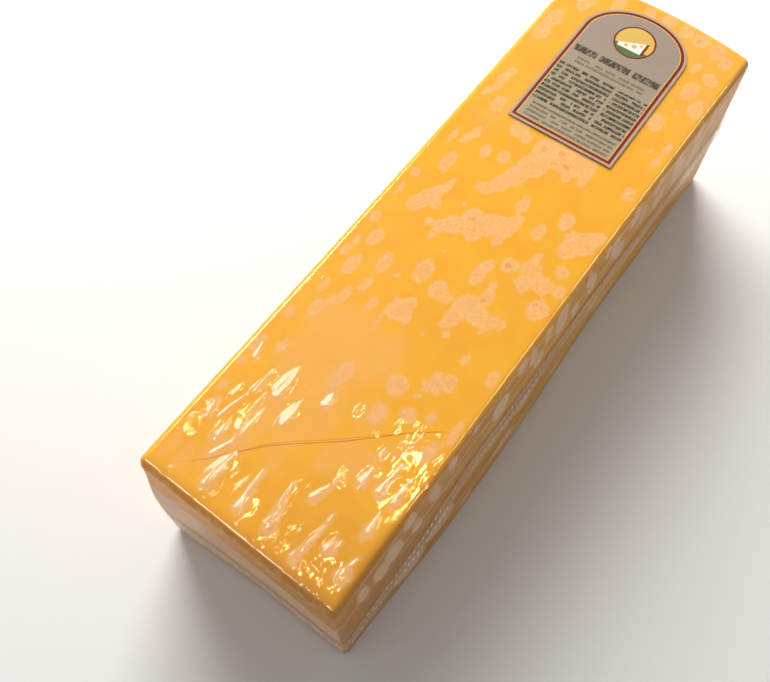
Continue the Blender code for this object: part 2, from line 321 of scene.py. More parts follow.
def shoulder_share(place):
    """How far the top has sunk at this place, towards its near edge and the near end of its right one."""
    from_near = max(0.0, 1.0 - (HALF_LENGTH + place.y) / SHOULDER_WIDTH)
    from_right = max(0.0, 1.0 - (HALF_WIDTH - place.x) / SHOULDER_WIDTH)
    return max(from_near, from_right * smooth((-70 * MM - place.y) / (60 * MM))) ** 2


def on_loaf(place, out):
    """A point of the sharp box moved onto the rounded, bowed loaf, this far outside its surface."""
    inner = Vector((
        min(max(place.x, EDGE_RADIUS - HALF_WIDTH), HALF_WIDTH - EDGE_RADIUS),
        min(max(place.y, EDGE_RADIUS - HALF_LENGTH), HALF_LENGTH - EDGE_RADIUS),
        min(max(place.z, EDGE_RADIUS), HEIGHT - EDGE_RADIUS),
    ))
    point = inner + (place - inner).normalized() * (EDGE_RADIUS + out)
    flare = EAR * ear_share(point.x, point.y) * smooth((HEIGHT - point.z) / EAR_DEPTH)
    point.x += belly(point.y, point.z) * point.x / HALF_WIDTH - flare
    point.y -= flare
    along = point.y / HALF_LENGTH
    across = point.x / HALF_WIDTH
    if along > 0:
        point.y -= FAR_CROWN * across * across * smooth(along)
    else:
        point.y += NEAR_SKEW * smooth(-along) * (1.0 - across) / 2
    point.x -= WAIST * across * max(0.0, 1.0 - along * along)
    point.z -= SHOULDER * shoulder_share(place) * smooth(point.z / HEIGHT)
    return point + RECENTRED


def subdivide_where(piece, chosen, cuts):
    """Subdivides the faces whose middle and normal pass the test."""
    for polygon in piece.data.polygons:
        polygon.select = chosen(polygon.center, polygon.normal)
    bpy.ops.object.mode_set(mode="EDIT")
    bpy.ops.mesh.subdivide(number_cuts=cuts)
    bpy.ops.object.mode_set(mode="OBJECT")


def cut_box(name):
    """A sharp box of the loaf's size, bisected into cells and subdivided everywhere but on its base."""
    bpy.ops.object.select_all(action="DESELECT")
    size = (2 * HALF_WIDTH, 2 * HALF_LENGTH, HEIGHT)
    bpy.ops.mesh.primitive_cube_add(size=1.0, location=(0.0, 0.0, HEIGHT / 2), scale=size)
    piece = bpy.context.object
    piece.name = piece.data.name = name
    bpy.ops.object.transform_apply(location=True, rotation=True, scale=True)
    bpy.ops.object.mode_set(mode="EDIT")
    bpy.ops.mesh.select_mode(type="FACE")
    for axis, low in enumerate((-HALF_WIDTH, -HALF_LENGTH, 0.0)):
        flat = size[axis] - 2 * EDGE_RADIUS
        cells = math.ceil(flat / CELL)
        for i in range(cells + 1):
            point, normal = [0.0, 0.0, 0.0], [0.0, 0.0, 0.0]
            point[axis] = low + EDGE_RADIUS + flat * i / cells
            normal[axis] = 1.0
            bpy.ops.mesh.select_all(action="SELECT")
            bpy.ops.mesh.bisect(plane_co=point, plane_no=normal)
    bpy.ops.mesh.select_all(action="DESELECT")
    bpy.ops.object.mode_set(mode="OBJECT")
    inside_x, inside_y = HALF_WIDTH - EDGE_RADIUS, HALF_LENGTH - EDGE_RADIUS
    subdivide_where(
        piece, lambda at, facing: facing.z > -0.5 or abs(at.x) > inside_x or abs(at.y) > inside_y, CELL_CUTS
    )
    subdivide_where(piece, lambda at, facing: facing.z > 0.9, 1)
    return piece


class Wire:
    """A socket of a material's nodes, so that sums on it can be written as Python sums."""

    def __init__(self, tree, socket):
        self.tree = tree
        self.socket = socket

    def maths(self, operation, first, second=0.0):
        node = self.tree.nodes.new("ShaderNodeMath")
        node.operation = operation
        for socket, value in zip(node.inputs, (first, second)):
            plug(self.tree, socket, value)
        return Wire(self.tree, node.outputs[0])

    def __add__(self, other):
        return self.maths("ADD", self, other)

    def __radd__(self, other):
        return self.maths("ADD", other, self)

    def __sub__(self, other):
        return self.maths("SUBTRACT", self, other)

    def __rsub__(self, other):
        return self.maths("SUBTRACT", other, self)

    def __mul__(self, other):
        return self.maths("MULTIPLY", self, other)

    def __rmul__(self, other):
        return self.maths("MULTIPLY", other, self)

    def __truediv__(self, other):
        return self.maths("DIVIDE", self, other)

    def __lt__(self, other):
        return self.maths("LESS_THAN", self, other)

    def __gt__(self, other):
        return self.maths("GREATER_THAN", self, other)

    def __abs__(self):
        return self.maths("ABSOLUTE", self)

    def floor(self):
        return self.maths("FLOOR", self)

    def root(self):
        return self.maths("SQRT", self)

    def at_most(self, other):
        return self.maths("MINIMUM", self, other)

    def at_least(self, other):
        return self.maths("MAXIMUM", self, other)

    def sibling(self, name):
        return Wire(self.tree, self.socket.node.outputs[name])


def plug(tree, socket, value):
    if isinstance(value, Wire):
        tree.links.new(value.socket, socket)
    else:
        socket.default_value = value


class Finish:
    """A material with its nodes: node() adds one, and the others are short ways to the common ones."""

    def __init__(self, name):
        self.material = bpy.data.materials.new(name)
        self.material.use_nodes = True
        self.tree = self.material.node_tree
        self.tree.nodes.clear()

    def node(self, kind, settings, values, outlet=0):
        node = self.tree.nodes.new(kind)
        for key, value in settings.items():
            setattr(node, key, value)
        for key, value in values.items():
            plug(self.tree, node.inputs[key], value)
        return Wire(self.tree, node.outputs[outlet])

    def place(self):
        return self.node("ShaderNodeTexCoord", {}, {}, "Object")

    def in_mm(self):
        x = self.node("ShaderNodeSeparateXYZ", {}, {"Vector": self.place()})
        return x * 1000.0, x.sibling("Y") * 1000.0, x.sibling("Z") * 1000.0

    def attribute(self, name):
        return self.node("ShaderNodeAttribute", {"attribute_name": name}, {}, "Fac")

    def grain(self, scale, detail=2.0, stretch=(1.0, 1.0, 1.0)):
        where = self.node("ShaderNodeMapping", {}, {"Vector": self.place(), "Scale": stretch})
        values = {"Vector": where, "Scale": scale, "Detail": detail}
        return self.node("ShaderNodeTexNoise", {}, values, "Fac")

    def step(self, value, low, high, start=0.0, end=1.0):
        values = {"Value": value, "From Min": low, "From Max": high, "To Min": start, "To Max": end}
        return self.node("ShaderNodeMapRange", {"interpolation_type": "SMOOTHSTEP"}, values)

    def blend(self, share, first, second):
        return self.node("ShaderNodeMix", {"data_type": "RGBA"}, {0: share, 6: first, 7: second}, 2)

    def mix_shaders(self, share, first, second):
        return self.node("ShaderNodeMixShader", {}, {0: share, 1: first, 2: second})

    def bump(self, height, depth):
        return self.node("ShaderNodeBump", {}, {"Height": height, "Distance": depth, "Strength": 1.0})

    def done(self, surface, piece):
        output = self.tree.nodes.new("ShaderNodeOutputMaterial")
        self.tree.links.new(surface.socket, output.inputs["Surface"])
        piece.data.materials.clear()
        piece.data.materials.append(self.material)


# The crease's course, as along and across; it's followed by x for each y, since it never turns back
CREASE = (
    (-137.3, -31.4), (-134.2, -27.7), (-130.9, -24.7), (-125.2, -20.0), (-118.3, -14.2), (-112.6, -9.2),
    (-107.3, -3.1), (-102.3, 3.4), (-97.9, 8.5), (-93.3, 13.4), (-85.3, 21.4), (-77.7, 29.7),
    (-72.2, 36.8),
)
# Half the length over which its bends are rounded off, in mm, and the cosine of its slant
CREASE_BEND, CREASE_SLANT = 3.5, 0.72


def crease_at(y):
    """How far across the top the crease runs at this place along it, in mm."""
    for (y0, x0), (y1, x1) in zip(CREASE, CREASE[1:]):
        if y < y1:
            break
    return x0 + (x1 - x0) * (y - y0) / (y1 - y0)


def beside_crease(place):
    """How far a place is to the right of the crease, in mm, with the crease's bends rounded off."""
    x, y, z = place / MM
    course = (crease_at(y - CREASE_BEND) + crease_at(y) + crease_at(y + CREASE_BEND)) / 3
    return (x - course) * CREASE_SLANT


def note(piece, name, measure):
    """Keeps a measure of each point of a cut box, for the material to read."""
    field = piece.data.attributes.new(name, "FLOAT", "POINT")
    for vert in piece.data.vertices:
        field.data[vert.index].value = measure(vert.co)


DEEP = (0.88, 0.400, 0.004, 1.0)
DEEP_LIGHT = (0.89, 0.432, 0.007, 1.0)
# Painted shade: a deeper orange for the near face and the top's rounded near and right edges, and a darker
# copy for their right-hand part
EDGE_PAINTED_SHADE = (0.92, 0.350, 0.003, 1.0)
EDGE_PAINTED_DEEP_SHADE = (0.60, 0.225, 0.002, 1.0)
# Painted shade: the brown of the long sides, which stand in shade
SIDE_PAINTED_SHADE = (0.56, 0.235, 0.024, 1.0)
PALE = (0.87, 0.435, 0.115, 1.0)
PALE_LIGHT = (0.91, 0.505, 0.175, 1.0)
PIT_BROWN = (0.55, 0.22, 0.030, 1.0)
# The pale of lifted film, whitened and greyed by a painted reflection, for the sides in shade
PALE_WITH_PAINTED_REFLECTION = (0.92, 0.63, 0.42, 1.0)
CREASE_PAINTED_SHADE = (0.52, 0.09, 0.006, 1.0)

cheese = cut_box("cheese")
note(cheese, "lifted", lifted_at)
note(cheese, "misted", misted_at)
note(cheese, "beside_crease", beside_crease)
note(cheese, "long_side", lambda place: 1.0 if abs(place.x) > HALF_WIDTH - TOUCH else 0.0)
for vert in cheese.data.vertices:
    vert.co = on_loaf(vert.co, -FILM_GAP)
cheese.data.shade_smooth()

finish = Finish("cheddar")
x, y, z = finish.in_mm()
loose = finish.step(y, LOOSE_FROM, LOOSE_FULL)
on_top = finish.step(z, 82.0, 83.5)
streak = finish.grain(260.0, 3.0, (1.0, 0.07, 1.0))
lifted = finish.attribute("lifted") + 2.2 * (finish.grain(560.0, 4.0) - 0.5)
patch = finish.step(lifted, -0.55 - 0.3 * loose, 0.55 + 0.6 * loose)
mottle = finish.step(finish.grain(620.0, 5.0), 0.30, 0.70)
blotch = finish.step(finish.grain(140.0, 3.0), 0.3, 0.65)
fringe = finish.step(abs(lifted - 0.6), 0.9, 0.1) * on_top * (1.0 - 0.7 * loose)
cells = finish.node("ShaderNodeTexVoronoi", {}, {"Vector": finish.place(), "Scale": 175.0}, "Distance")
chance = finish.node("ShaderNodeSeparateColor", {}, {"Color": cells.sibling("Color")})
pitted = finish.step(lifted, 1.0, 1.8) * (chance > 0.70) * (1.0 - loose) * on_top
ragged = cells + 0.55 * (finish.grain(700.0, 3.0) - 0.5)
pit = finish.step(ragged, 0.16, 0.10) * pitted
pit_rim = finish.step(abs(ragged - 0.18), 0.07, 0.02) * pitted
colour = finish.blend(finish.step(finish.grain(60.0, 3.0), 0.35, 0.65), DEEP, DEEP_LIGHT)
# Painted shade on the near face, the top's near edge and the near end of its right edge, darkest to the
# right, where the rounded edges turn away from the light
rim = finish.step(y, -138.0, -145.0).at_least(finish.step(x, 38.0, 43.0) * finish.step(y, -70.0, -120.0))
colour = finish.blend(0.8 * rim, colour, finish.blend(finish.step(x, -30.0, 42.0), EDGE_PAINTED_SHADE, EDGE_PAINTED_DEEP_SHADE))
# Streaks of wet film on the long sides, filled with painted shade that grows towards the near end
furrow = finish.grain(330.0, 4.0, (1.0, 0.05, 1.0))
side_shade_streaks = finish.step(furrow, 0.40, 0.58) * finish.step(y, 60.0, -90.0, 0.45, 0.95)
side_shade_streaks = side_shade_streaks * finish.attribute("long_side")
colour = finish.blend((1.0 - on_top) * side_shade_streaks, colour, SIDE_PAINTED_SHADE)
# Painted shade on the top's near right corner, where less light falls
shade = finish.step(y, -95.0, -140.0) * finish.step(x, -15.0, 40.0) * on_top
colour = finish.blend(0.45 * shade, colour, EDGE_PAINTED_DEEP_SHADE)
# Painted shade: the long sides darkened towards the near end and the far end
painted_end_shade = finish.step(y, -30.0, -140.0, 0.0, 0.60) + finish.step(y, 40.0, 120.0, 0.0, 0.40)
colour = finish.blend(painted_end_shade * finish.attribute("long_side"), colour, SIDE_PAINTED_SHADE)
# Pale streaks on the sides, with a painted grey reflection in them
colour = finish.blend((1.0 - on_top) * finish.step(streak, 0.48, 0.66) * 0.30, colour, PALE_WITH_PAINTED_REFLECTION)
misted = finish.attribute("misted") * (0.55 + 0.45 * finish.grain(90.0, 4.0, (1.0, 0.4, 1.0)))
# Painted light: the top paler towards its far end, where more light falls
misted = misted + on_top * finish.step(y, 20.0, 120.0) * 0.30
colour = finish.blend(0.62 * misted, colour, PALE)
pale = finish.blend((0.45 * mottle + 0.35 * fringe + 0.30 * blotch).at_most(1.0), PALE, PALE_LIGHT)
# Painted reflection: on the right side and the near face, which stand in shade, the pale patches take the
# greyed colour, less so towards the far end; the lit left side keeps the plain pale
shaded = finish.step(x, -20.0, 30.0).at_least(finish.step(y, -138.0, -143.0))
shaded = shaded * finish.step(y, 146.0, 30.0, 0.25, 1.0)
pale = finish.blend((1.0 - on_top) * shaded, pale, PALE_WITH_PAINTED_REFLECTION)
colour = finish.blend(patch * (0.66 + 0.2 * mottle + 0.14 * blotch) * (1.0 - 0.15 * loose), colour, pale)
speck = finish.step(finish.grain(1300.0, 2.0), 0.58, 0.70) * patch * on_top * (1.0 - 0.6 * loose)
colour = finish.blend(0.42 * pit_rim, colour, PIT_BROWN)
colour = finish.blend(0.30 * speck, colour, PIT_BROWN)
colour = finish.blend(0.6 * pit, colour, DEEP)
# Painted shade: a thin dark line, doubled in its middle, where the film is folded along the crease
aside = finish.attribute("beside_crease") + 0.9 * (finish.grain(160.0, 3.0) - 0.5)
ends = finish.step(y, -138.0, -122.0) * finish.step(y, -71.0, -76.0) * on_top
split = finish.step(abs(y + 101.0), 22.0, 5.0) * 0.9
line = finish.step(abs(aside), 0.34, 0.08).at_least(0.5 * finish.step(abs(aside + split), 0.30, 0.10)) * ends
colour = finish.blend(0.62 * line, colour, CREASE_PAINTED_SHADE)
surface = finish.node("ShaderNodeBsdfPrincipled", {}, {
    "Base Color": colour,
    "Roughness": 0.45 + 0.15 * patch,
    "Subsurface Weight": 0.30,
    "Subsurface Radius": (1.0, 0.40, 0.08),
    "Subsurface Scale": 0.005,
    "Specular IOR Level": 0.2,
    "Normal": finish.bump(finish.grain(900.0, 4.0), 0.00006),
})
finish.done(surface, cheese)
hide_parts("wrapped_block")
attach(cheese, "root")


# The film: clear shrink film, drawn tight by a vacuum. It clings to the cheese but for the pale
# patches, and at the near end it is loose, with long folds and one crease that runs askew.
LOOSE_LENGTH = 58 * MM
# How far the film stands off the loaf, in mm: at least, and at most on the top and on the sides
RELIEF_LEAST, RELIEF_TOP, RELIEF_SIDE = -0.1, 1.25, 1.0
# Where the loose film is crinkled finely, as along, across and half sizes in mm
CRINKLES = (
    (-137, -16, 2.4, 1.4), (-133, -15, 2.0, 1.4), (-129, -15, 3.2, 1.2), (-135, -1, 3.6, 1.4),
    (-117, 8, 1.2, 1.0), (-122, 7, 2.8, 1.0), (-129, 8, 3.2, 0.9), (-138, 11, 2.4, 1.0),
    (-142, 8, 2.0, 1.0), (-137, 16, 2.0, 0.9), (-131, 15, 2.4, 1.0), (-109, 18, 1.6, 1.1),
    (-101, 32, 4.8, 2.4), (-92, 32, 5.6, 2.8), (-103, 24, 2.4, 1.8), (-92, 23, 2.0, 1.4),
    (-78, 28, 7.2, 1.3), (-72, 34, 3.2, 1.0), (-81, 22, 2.4, 1.0), (-80, 32, 1.0, 0.9),
    (-85, 7, 2.0, 1.0), (-116, -36, 2.4, 1.6), (-124, -37, 3.2, 1.8), (-120, -28, 2.4, 1.4),
    (-136.5, 32, 4.8, 2.6), (-137, 36, 4.4, 2.2), (-138, 26, 1.4, 1.2), (-135, 28, 1.4, 1.0),
    (-143, 22, 1.8, 1.0), (-143, 26, 1.8, 1.0), (-142, 36, 1.2, 1.0), (-127, 28, 3.2, 1.5),
    (-97, 38, 2.4, 1.0), (-86, 40, 1.6, 1.0), (-88, 17, 1.0, 0.8), (-143, -33, 1.8, 1.2),
    (-101, 39, 1.6, 1.0), (-108, 37, 1.2, 0.9), (-108, -24, 6.0, 1.6), (-98, -26, 5.0, 1.4),
    (-12, 41.5, 4.0, 1.2), (12, -40, 2.4, 0.8), (-86, 41.5, 5.0, 1.4),
)
# Where flat film would mirror the small lamp, just past the right edge; the crinkles tilt that way
GLINT_ALONG, GLINT_ACROSS = -97, 58
# and more so the further they are from it, by this slope a mm
GLINT_SLOPE = 0.00203
# Broad flanks of folds, tilted to the left, as along, across and half sizes in mm, with their slope
FLANKS = (
    (-93, -20.5, 8.5, 2.8, 0.22), (-101, -12, 7.0, 2.3, 0.22), (-132.5, -19, 8.5, 3.0, 0.24),
    (-112, -21, 6.5, 1.4, 0.2), (-115, -35, 3.4, 2.0, 0.2), (-134, 7, 4.6, 1.7, 0.2),
    (-119.5, -27, 3.4, 1.5, 0.2), (-88.5, -4.2, 3.4, 1.6, 0.17), (-102, 24, 4.8, 2.2, 0.2),
    (-128.5, 22, 5.6, 1.2, 0.18), (-128, 27.7, 3.4, 1.6, 0.18), (-98.5, -27, 5.6, 2.2, 0.15),
    (-130, -9, 5.0, 1.0, 0.16), (-108, 16, 4.0, 1.0, 0.14), (-105, -33, 4.0, 1.2, 0.16),
)


def crinkled_at(place):
    """How finely crinkled the film is at a place on the sharp box, from 0 to 1."""
    if place.z < HEIGHT - TOUCH:
        return 0.0
    total = 0.0
    for along, across, half_along, half_across in CRINKLES:
        reach = ((place.y / MM - along) / half_along) ** 2 + ((place.x / MM - across) / half_across) ** 2
        if reach < 4.0:
            total += math.exp(-reach)
    return min(total, 1.0)


def flank_at(place):
    """How high the folds' broad flanks stand at a place on the sharp box, and their fine tilt, in mm."""
    raised, tilt = 0.0, 0.0
    if place.z > HEIGHT - TOUCH and place.y < -75 * MM:
        x, y, z = place / MM + 0.5 * noise.noise_vector(place * 160)
        streaky = 1.0 + 0.18 * noise.noise(Vector((x / 1.3, y / 9.0, 5.0)))
        for along, across, half_along, half_across, slope in FLANKS:
            ahead, aside = y - along, x - across
            reach = math.hypot(ahead / half_along, aside / half_across)
            here = smooth((1.3 - reach) / 0.65) * streaky
            raised += slope * (aside + half_across) * here
            tilt += (0.15 + 0.0022 * along) * ahead * here
        for along, across, half_along, half_across in CRINKLES:
            ahead, aside = y - along, x - across
            reach = math.hypot(ahead / half_along, aside / half_across)
            if reach < 2.0:
                towards = (along - GLINT_ALONG) * ahead + (across - GLINT_ACROSS) * aside
                tilt += GLINT_SLOPE * towards * smooth((1.9 - reach) / 0.6)
    return max(raised, 0.0), tilt


def film_relief(place):
    """How far the film stands outside the loaf's nominal surface at a place on the sharp box, in metres."""
    x, y, z = place / MM
    relief = 0.04 * noise.noise(place * 85)
    if place.z > HEIGHT - TOUCH:
        loose = smooth((-55.0 - y) / 35.0)
        relief += 0.05 * loose * noise.noise(Vector((x / 3.5, y / 9.0, 0.0)))
        if y < -70:
            aside = beside_crease(place)
            fade = smooth((y + 138) / 14) * smooth((-70 - y) / 10)
            relief += 0.12 * fade * smooth(aside / 4.0 + 0.5) * smooth(3.0 - aside / 6.0)
            ruffle = 1.0 + 0.35 * noise.noise(Vector((x / 1.8, y / 6.0, 3.0)))
            relief += fold_at(x, y)[1] * ruffle + flank_at(place)[0]
        return min(max(relief, RELIEF_LEAST), RELIEF_TOP) * MM
    if place.z < TOUCH:
        return (relief - 0.08) * MM
    near_seam = math.exp(-((z - SEAM_HEIGHT - seam_lift(y)) / 9.0) ** 2)
    run = x + y if abs(place.x) < HALF_WIDTH - TOUCH else y - x
    relief += (0.08 + 0.20 * near_seam) * noise.noise(Vector((run / 1.7, z / 11.0, 2.0)))
    relief += 0.12 * noise.noise(Vector((run / 9.0, z / 16.0, 4.0))) + 0.30 * near_seam
    flat = 1.0 - EAR_CALM * ear_share(place.x, place.y)
    return min(max(relief, RELIEF_LEAST), RELIEF_SIDE) * flat * MM


film = cut_box("film")
subdivide_where(film, lambda at, facing: facing.z > 0.9 and at.y < LOOSE_LENGTH - HALF_LENGTH, 1)
note(film, "lifted", lifted_at)
note(film, "misted", misted_at)
note(film, "crinkled", crinkled_at)
note(film, "tilt", lambda place: flank_at(place)[1])
for vert in film.data.vertices:
    vert.co = on_loaf(vert.co, film_relief(vert.co))
film.data.shade_smooth()

FILM_IOR = 1.45
FILM_ROUGHNESS = 0.055
GLOSS_GAIN = 1.25


def film_surface(finish, haze, veil_colour, shine, bump):
    """Clear plastic: it shows what lies under it, mirrors a little, more at a slant, and has some haze."""
    fresnel = finish.node("ShaderNodeFresnel", {}, {"IOR": FILM_IOR, "Normal": bump})
    clear = finish.node("ShaderNodeBsdfTransparent", {}, {})
    gloss = finish.node("ShaderNodeBsdfGlossy", {}, {"Roughness": FILM_ROUGHNESS, "Normal": bump})
    veil = finish.node("ShaderNodeBsdfDiffuse", {}, {"Color": veil_colour})
    surface = finish.mix_shaders(haze, clear, veil)
    return finish.mix_shaders((fresnel * GLOSS_GAIN).at_most(shine), surface, gloss)


finish = Finish("clear film")
x, y, z = finish.in_mm()
loose = finish.step(y, LOOSE_FROM, LOOSE_FULL)
on_top = finish.step(z, 82.0, 83.5)
off_top = 1.0 - on_top
lifted = finish.attribute("lifted") + 2.2 * (finish.grain(560.0, 4.0) - 0.5)
patch = finish.step(lifted, -0.5, 0.5)
squiggle = finish.grain(750.0, 2.0, (1.0, 0.5, 1.0))
height = 0.05 * finish.grain(420.0, 3.0, (1.0, 0.35, 0.35)) + 0.17 * finish.attribute("crinkled") * squiggle
height = height + finish.attribute("tilt")
streak = finish.step(finish.grain(300.0, 3.0, (1.0, 0.06, 1.0)), 0.45, 0.65)
VEIL = (0.92, 0.80, 0.66, 1.0)
haze = 0.02 + patch * (0.04 + 0.05 * loose) + off_top * (0.04 * streak + 0.06 * finish.attribute("misted"))
shine = 0.05 + finish.step(z, 66.0, 60.0) * finish.step(y, -140.0, -144.0, 0.02, 0.10)
shine = shine * finish.step(x, -42.4, -40.4, 0.15, 1.0)
finish.done(film_surface(finish, haze, VEIL, shine, finish.bump(height, 0.001)), film)
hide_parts("wrapped_block")
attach(film, "root")


# The seam: the film's two halves welded flat round the four sides, 13 mm wide, with two rows of
# pressed dots. Its upper edge lies on the film and its lower edge stands a little off, in waves.
SEAM_BAND = 13.0
SEAM_LEAST, SEAM_MOST = 0.42, 1.08
DOT_PITCH = 2.9
DOT_ROWS = (-3.4, 3.4)
DOT_HALF_WIDTH, DOT_HALF_HEIGHT = 0.75, 1.9


def round_the_loaf(share):
    """The place on the sharp box's outline after this share of its way round, from the near left corner."""
    wide, long = 2 * HALF_WIDTH, 2 * HALF_LENGTH
    run = share * 2 * (wide + long)
    if run < wide:
        return Vector((run - HALF_WIDTH, -HALF_LENGTH, 0.0)), run
    if run < wide + long:
        return Vector((HALF_WIDTH, run - wide - HALF_LENGTH, 0.0)), run
    if run < 2 * wide + long:
        return Vector((HALF_WIDTH - run + wide + long, HALF_LENGTH, 0.0)), run
    return Vector((-HALF_WIDTH, HALF_LENGTH - run + 2 * wide + long, 0.0)), run


bpy.ops.object.select_all(action="DESELECT")
bpy.ops.mesh.primitive_grid_add(x_subdivisions=1920, y_subdivisions=18, size=1.0, location=(0.0, 0.0, 0.0))
seam = bpy.context.object
seam.name = seam.data.name = "seam"
dots = seam.data.attributes.new("dot", "FLOAT", "POINT")
for vert in seam.data.vertices:
    place, run = round_the_loaf(min(max(vert.co.x + 0.5, 0.0), 1.0))
    across = vert.co.y * SEAM_BAND
    place.z = (SEAM_HEIGHT + across + seam_lift(place.y / MM)) * MM
    worn = 0.75 + 0.5 * noise.noise(place * 55)
    dot = 0.0
    for number, row in enumerate(DOT_ROWS):
        step = run / MM / DOT_PITCH + 0.5 * (number % 2)
        aside = (step - round(step)) * DOT_PITCH / DOT_HALF_WIDTH
        apart = math.hypot(aside, (across - row) / DOT_HALF_HEIGHT)
        dot = max(dot, worn * smooth(1.45 - apart))
    free = smooth(0.5 - across / SEAM_BAND)
    wave = noise.noise(place * 210) * 0.30 + noise.noise(place * 60) * 0.15
    out = 0.50 + 0.35 * free + free * wave + 0.18 * dot
    flat = 1.0 - EAR_CALM * ear_share(place.x, place.y)
    dots.data[vert.index].value = dot
    vert.co = on_loaf(place, min(max(out, SEAM_LEAST), SEAM_MOST) * flat * MM)
bpy.ops.object.mode_set(mode="EDIT")
bpy.ops.mesh.select_all(action="SELECT")
bpy.ops.mesh.remove_doubles(threshold=1e-6)
bpy.ops.mesh.normals_make_consistent(inside=False)
bpy.ops.object.mode_set(mode="OBJECT")
seam.data.shade_smooth()

SEAM_VEIL = (0.80, 0.62, 0.42, 1.0)
# The milky white of the pressed dots, also used for the painted sparkle
DOT_AND_SPARKLE_VEIL = (0.95, 0.88, 0.78, 1.0)
SEAM_SHINE = 0.16

finish = Finish("welded film")
dot = finish.step(finish.attribute("dot") + 0.25 * (finish.grain(2500.0) - 0.5), 0.2, 0.75)
ripple = finish.bump(finish.grain(600.0, 3.0), 0.00005)
x, y, z = finish.in_mm()
near_end = finish.step(y, -80.0, -110.0)
# Painted glints: white spots in the seam's veil towards the near end, standing in for sparkles of light
painted_sparkle = finish.step(finish.grain(1100.0, 2.0), 0.62, 0.68) * near_end
haze = 0.12 + 0.14 * finish.grain(300.0, 3.0) + (0.52 * dot).at_least(0.55 * painted_sparkle)
milky_dots_and_painted_sparkle = finish.blend(dot.at_least(painted_sparkle), SEAM_VEIL, DOT_AND_SPARKLE_VEIL)
finish.done(film_surface(finish, haze, milky_dots_and_painted_sparkle, SEAM_SHINE, ripple), seam)
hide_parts("wrapped_block")
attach(seam, "root")


# The label: a coated paper sticker with a square foot and an arched top. A maroon line and a thin
# yellow one run round it; inside are a round emblem with a wedge of cheese, and rows of small print.
LABEL_FOOT = Vector((0.5, 56.5))
LABEL_TURN = math.radians(1.0)
LABEL_HALF = 24.0
LABEL_STRAIGHT = 61.0
LABEL_ARCH = 19.5
LABEL_THICK = 0.12

bpy.ops.object.select_all(action="DESELECT")
bpy.ops.mesh.primitive_grid_add(x_subdivisions=48, y_subdivisions=84, size=1.0, location=(0.0, 0.0, 0.0))
label = bpy.context.object
label.name = label.data.name = "label_paper"
for vert in label.data.vertices:
    share = vert.co.y + 0.5
    angle = math.pi / 2 * max(0.0, share - 0.7) / 0.3
    u = 2 * LABEL_HALF * vert.co.x * math.cos(angle)
    v = LABEL_STRAIGHT * min(share / 0.7, 1.0) + LABEL_ARCH * math.sin(angle)
    x = LABEL_FOOT.x + u * math.cos(LABEL_TURN) - v * math.sin(LABEL_TURN)
    y = LABEL_FOOT.y + u * math.sin(LABEL_TURN) + v * math.cos(LABEL_TURN)
    sag = 0.07 * noise.noise(Vector((x / 11, y / 11, 2.0))) + 0.03 * noise.noise(Vector((x / 4, y / 4, 6.0)))
    vert.co = Vector((x, y, label_low.z / MM + 0.16 + sag)) * MM
bpy.ops.object.mode_set(mode="EDIT")
bpy.ops.mesh.select_all(action="SELECT")
bpy.ops.mesh.remove_doubles(threshold=1e-6)
bpy.ops.object.mode_set(mode="OBJECT")
bpy.ops.object.modifier_add(type="SOLIDIFY")
label.modifiers["Solidify"].thickness = LABEL_THICK * MM
bpy.ops.object.modifier_apply(modifier="Solidify")
bpy.ops.object.shade_smooth_by_angle(angle=math.radians(40))

finish = Finish("label paper")
x, y, z = finish.in_mm()
x, y = x - LABEL_FOOT.x, y - LABEL_FOOT.y
u = x * math.cos(LABEL_TURN) + y * math.sin(LABEL_TURN)
v = y * math.cos(LABEL_TURN) - x * math.sin(LABEL_TURN)


def disc(across, up, radius):
    """1 inside a circle on the label and 0 outside it, with an edge as soft as print's."""
    away = ((u - across) * (u - across) + (v - up) * (v - up)).root()
    return finish.step(away, radius + 0.12, radius - 0.12)


def bar(left, right, low, high):
    """1 inside an upright rectangle on the label and 0 outside it."""
    return (u > left) * (u < right) * (v > low) * (v < high)


def dashes(low, high, pitch, tall, word, stroke):
    """Rows of dashes for small print: long gaps between the words, short ones inside them, no letters."""
    row = (v - low) / pitch
    number = row.floor()
    inner = row - number
    spot = finish.node("ShaderNodeCombineXYZ", {}, {"X": u * word, "Y": number * 7.3})
    words = finish.node("ShaderNodeTexNoise", {}, {"Vector": spot, "Scale": 1.0, "Detail": 0.0}, "Fac")
    spot = finish.node("ShaderNodeCombineXYZ", {}, {"X": u * stroke, "Y": number * 3.7 + inner * 1.4})
    strokes = finish.node("ShaderNodeTexNoise", {}, {"Vector": spot, "Scale": 1.0, "Detail": 1.0}, "Fac")
    rows = (inner < tall / pitch) * (v > low) * (v < high)
    return rows * finish.step(words, 0.34, 0.38) * finish.step(strokes, 0.38, 0.52, 0.35, 1.0)


MARGIN = (0.47, 0.34, 0.23, 1.0)
MAROON = (0.20, 0.008, 0.006, 1.0)
YELLOW = (0.68, 0.44, 0.10, 1.0)
TAUPE = (0.33, 0.26, 0.205, 1.0)
CREAM = (0.37, 0.30, 0.19, 1.0)
INK = (0.020, 0.014, 0.010, 1.0)
WHITE = (0.85, 0.80, 0.72, 1.0)
GREEN = (0.10, 0.16, 0.05, 1.0)

